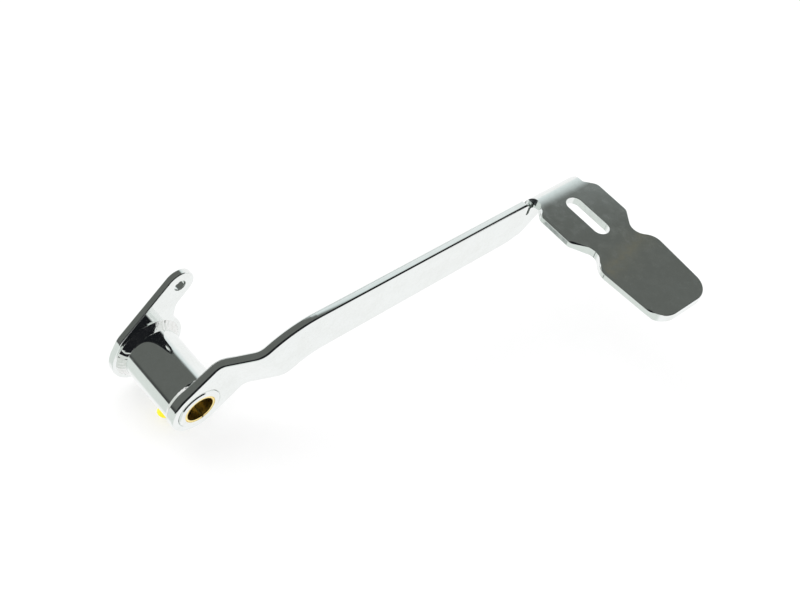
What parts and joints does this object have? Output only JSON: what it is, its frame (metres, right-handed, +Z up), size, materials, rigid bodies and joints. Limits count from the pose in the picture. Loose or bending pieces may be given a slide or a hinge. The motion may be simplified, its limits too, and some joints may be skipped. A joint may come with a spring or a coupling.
{
  "type": "motorcycle rear brake pedal",
  "caption": "Chromed rear brake pedal: a joggled flat bar folded into a slotted foot pad, welded to a bushed pivot tube with a rod lever and a capped grease nipple.",
  "frame": {"origin": "on the pivot axis, in the plane of the brake arm's outboard face at the pivot", "axes": "+X along the pivot axis towards the rider's side, where the foot pad points; +Y forward along the level part of the bar; +Z up, out of the foot pad's face"},
  "size_m": [0.2017, 0.3365, 0.0934],
  "materials": {
    "chrome_plate": "polished",
    "bush_bronze": "reamed bore, polished ends",
    "nipple_steel": "zinc plated",
    "cap_plastic": "smooth moulded"
  },
  "bodies": {
    "pedal": {"brake_arm": "chrome_plate", "pivot_tube": "chrome_plate", "outer_bush": "bush_bronze", "inner_bush": "bush_bronze", "rod_lever": "chrome_plate", "arm_weld": "chrome_plate", "lever_weld": "chrome_plate", "nipple_body": "nipple_steel", "nipple_spring": "nipple_steel", "nipple_cap": "cap_plastic"},
    "check_ball": {"nipple_ball": "nipple_steel"}
  },
  "joints": [
    {"name": "ball_slide", "type": "slide", "parent": "pedal", "child": "check_ball", "axis": [0, 0.2756, 0.9613], "range_m": [0, 0.0006], "stiffness_N_per_m": 150, "springref_m": -0.0006, "deforming": ["nipple_spring"]}
  ]
}
